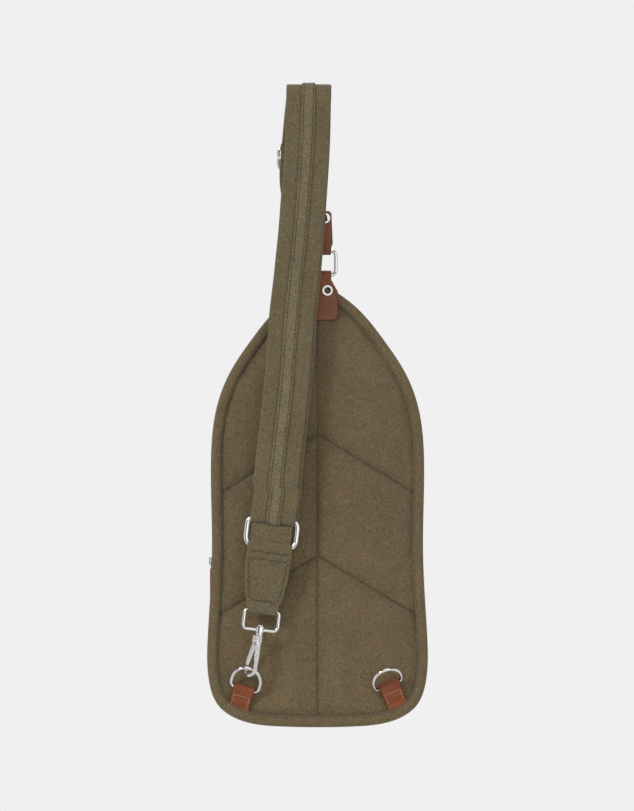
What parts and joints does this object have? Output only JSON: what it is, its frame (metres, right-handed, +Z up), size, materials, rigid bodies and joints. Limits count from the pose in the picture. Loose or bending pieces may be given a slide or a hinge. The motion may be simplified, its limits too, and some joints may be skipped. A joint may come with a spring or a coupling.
{
  "type": "sling bag",
  "caption": "Canvas sling bag with quilted back, one padded strap on swivel hook and ring, leather tabs, zipped main and front pockets, hanging by its folded strap.",
  "frame": {"origin": "axis of the peg that the strap's fold hangs over, on the bag's centre plane", "axes": "+Z up, along the hanging bag; -Y is the quilted back of the bag with the strap; +X is to the right when that side is seen"},
  "size_m": [0.1868, 0.1019, 0.5466],
  "materials": {
    "canvas": "matte",
    "strip": "matte",
    "binding": "matte",
    "foam": "matte",
    "lining": "matte",
    "board": "matte",
    "zip_tape": "matte",
    "zip_teeth": "satin",
    "leather": "satin",
    "nickel": "polished",
    "spring_steel": "satin"
  },
  "bodies": {
    "strap_back": {"strap_back_outer": "canvas", "strap_back_strip": "strip", "strap_fold_inner": "canvas", "strap_back_inner": "canvas", "upper_tab": "leather", "upper_eyelets": "nickel"},
    "tab_ring": {"top_ring": "nickel"},
    "bag": {"back_panel_cover": "canvas", "back_panel_foam": "foam", "back_panel_lining": "lining", "back_binding": "binding", "front_binding": "binding", "gusset": "canvas", "main_zip_tape": "zip_tape", "main_zip_teeth": "zip_teeth", "gusset_lining": "lining", "front_panel": "canvas", "front_lining": "lining", "base_board": "board", "pocket_shell": "canvas", "pocket_zip_tape": "zip_tape", "pocket_zip_teeth": "zip_teeth", "lower_tab": "leather", "lower_eyelets": "nickel", "left_leather_loop": "leather", "right_leather_loop": "leather"},
    "strap_front": {"strap_front_inner": "canvas", "strap_front_outer": "canvas", "strap_front_strip": "strip", "strap_end_loop": "canvas"},
    "slider": {"slider_frame": "nickel", "slider_strap_end": "canvas"},
    "tail_ring": {"oval_ring": "nickel"},
    "tail_tab": {"hook_tab": "canvas"},
    "tail_loop": {"hook_loop": "nickel"},
    "hook": {"hook_body": "nickel", "gate_pin": "nickel", "gate_spring": "spring_steel"},
    "gate": {"hook_gate": "nickel"},
    "left_ring": {"left_d_ring": "nickel"},
    "right_ring": {"right_d_ring": "nickel"},
    "main_slider": {"main_zip_slider": "nickel"},
    "main_pull": {"main_zip_link": "nickel", "main_zip_pull": "leather"},
    "pocket_slider": {"pocket_zip_slider": "nickel"},
    "pocket_pull": {"pocket_zip_link": "nickel", "pocket_zip_pull": "leather"}
  },
  "joints": [
    {"name": "bag_swing", "type": "hinge", "parent": "strap_back", "child": "bag", "pos_m": [0, 0.00075, -0.1518], "axis": [-1, 0, 0], "range_deg": [-3.6, 6]},
    {"name": "tab_ring_swing", "type": "hinge", "parent": "strap_back", "child": "tab_ring", "pos_m": [0, 0.00075, -0.131], "axis": [-1, 0, 0], "range_deg": [-0.38, 0.62]},
    {"name": "strap_front_swing", "type": "hinge", "parent": "strap_back", "child": "strap_front", "pos_m": [0, 0, 0], "axis": [-1, 0, 0], "range_deg": [-2.6, 4.3]},
    {"name": "left_ring_lift", "type": "hinge", "parent": "bag", "child": "left_ring", "pos_m": [-0.0621, -0.03562, -0.50212], "axis": [0.9588, -0.0297, -0.2825], "range_deg": [-5, 5]},
    {"name": "oval_ring_swing", "type": "hinge", "parent": "strap_front", "child": "tail_ring", "pos_m": [-0.03717, -0.036, -0.35705], "axis": [-0.993, 0.0095, 0.118], "range_deg": [-0.6, 0.6]},
    {"name": "hook_tab_swing", "type": "hinge", "parent": "tail_ring", "child": "tail_tab", "pos_m": [-0.04023, -0.03806, -0.38259], "axis": [-0.993, 0.0095, 0.118], "range_deg": [-0.2, 0.2]},
    {"name": "hook_loop_swing", "type": "hinge", "parent": "tail_tab", "child": "tail_loop", "pos_m": [-0.04652, -0.04228, -0.43515], "axis": [-0.993, 0.0095, 0.118], "range_deg": [-0.2, 0.2]},
    {"name": "hook_swivel", "type": "hinge", "parent": "tail_loop", "child": "hook", "pos_m": [-0.04854, -0.04365, -0.45207], "axis": [-0.1184, -0.0796, -0.9898], "range_deg": [-3, 12]},
    {"name": "hook_gate", "type": "hinge", "parent": "hook", "child": "gate", "pos_m": [-0.05165, -0.04166, -0.45984], "axis": [-0.7607, -0.6334, 0.142], "range_deg": [0, 6], "stiffness_Nm_per_rad": 0.02, "springref_deg": -22.92},
    {"name": "right_ring_swing", "type": "hinge", "parent": "bag", "child": "right_ring", "pos_m": [0.0606, -0.0353, -0.49913], "axis": [0.9184, 0.0413, 0.3934], "range_deg": [-46, 100]},
    {"name": "strap_slider_slide", "type": "slide", "parent": "strap_back", "child": "slider", "axis": [0, 0, -1], "range_m": [0, 0.01]},
    {"name": "main_zip_slide", "type": "slide", "parent": "bag", "child": "main_slider", "axis": [0, 0.0063, -1], "range_m": [-0.055, 0.006]},
    {"name": "main_pull_swing", "type": "hinge", "parent": "main_slider", "child": "main_pull", "pos_m": [-0.09046, 0.01839, -0.39398], "axis": [0, 1, 0.0063], "range_deg": [0, 120]},
    {"name": "pocket_zip_slide", "type": "slide", "parent": "bag", "child": "pocket_slider", "axis": [1, 0, 0], "range_m": [0, 0.1]},
    {"name": "pocket_pull_swing", "type": "hinge", "parent": "pocket_slider", "child": "pocket_pull", "pos_m": [-0.05, 0.0497, -0.3446], "axis": [1, 0, 0], "range_deg": [0, 120]}
  ],
  "couplings": [
    {"joint": "tab_ring_swing", "follows": "bag_swing", "ratio": 0.1},
    {"joint": "strap_front_swing", "follows": "bag_swing", "ratio": 0.6985},
    {"joint": "oval_ring_swing", "follows": "left_ring_lift", "ratio": 0.1},
    {"joint": "hook_tab_swing", "follows": "left_ring_lift", "ratio": 0.02},
    {"joint": "hook_loop_swing", "follows": "left_ring_lift", "ratio": 0.03}
  ]
}
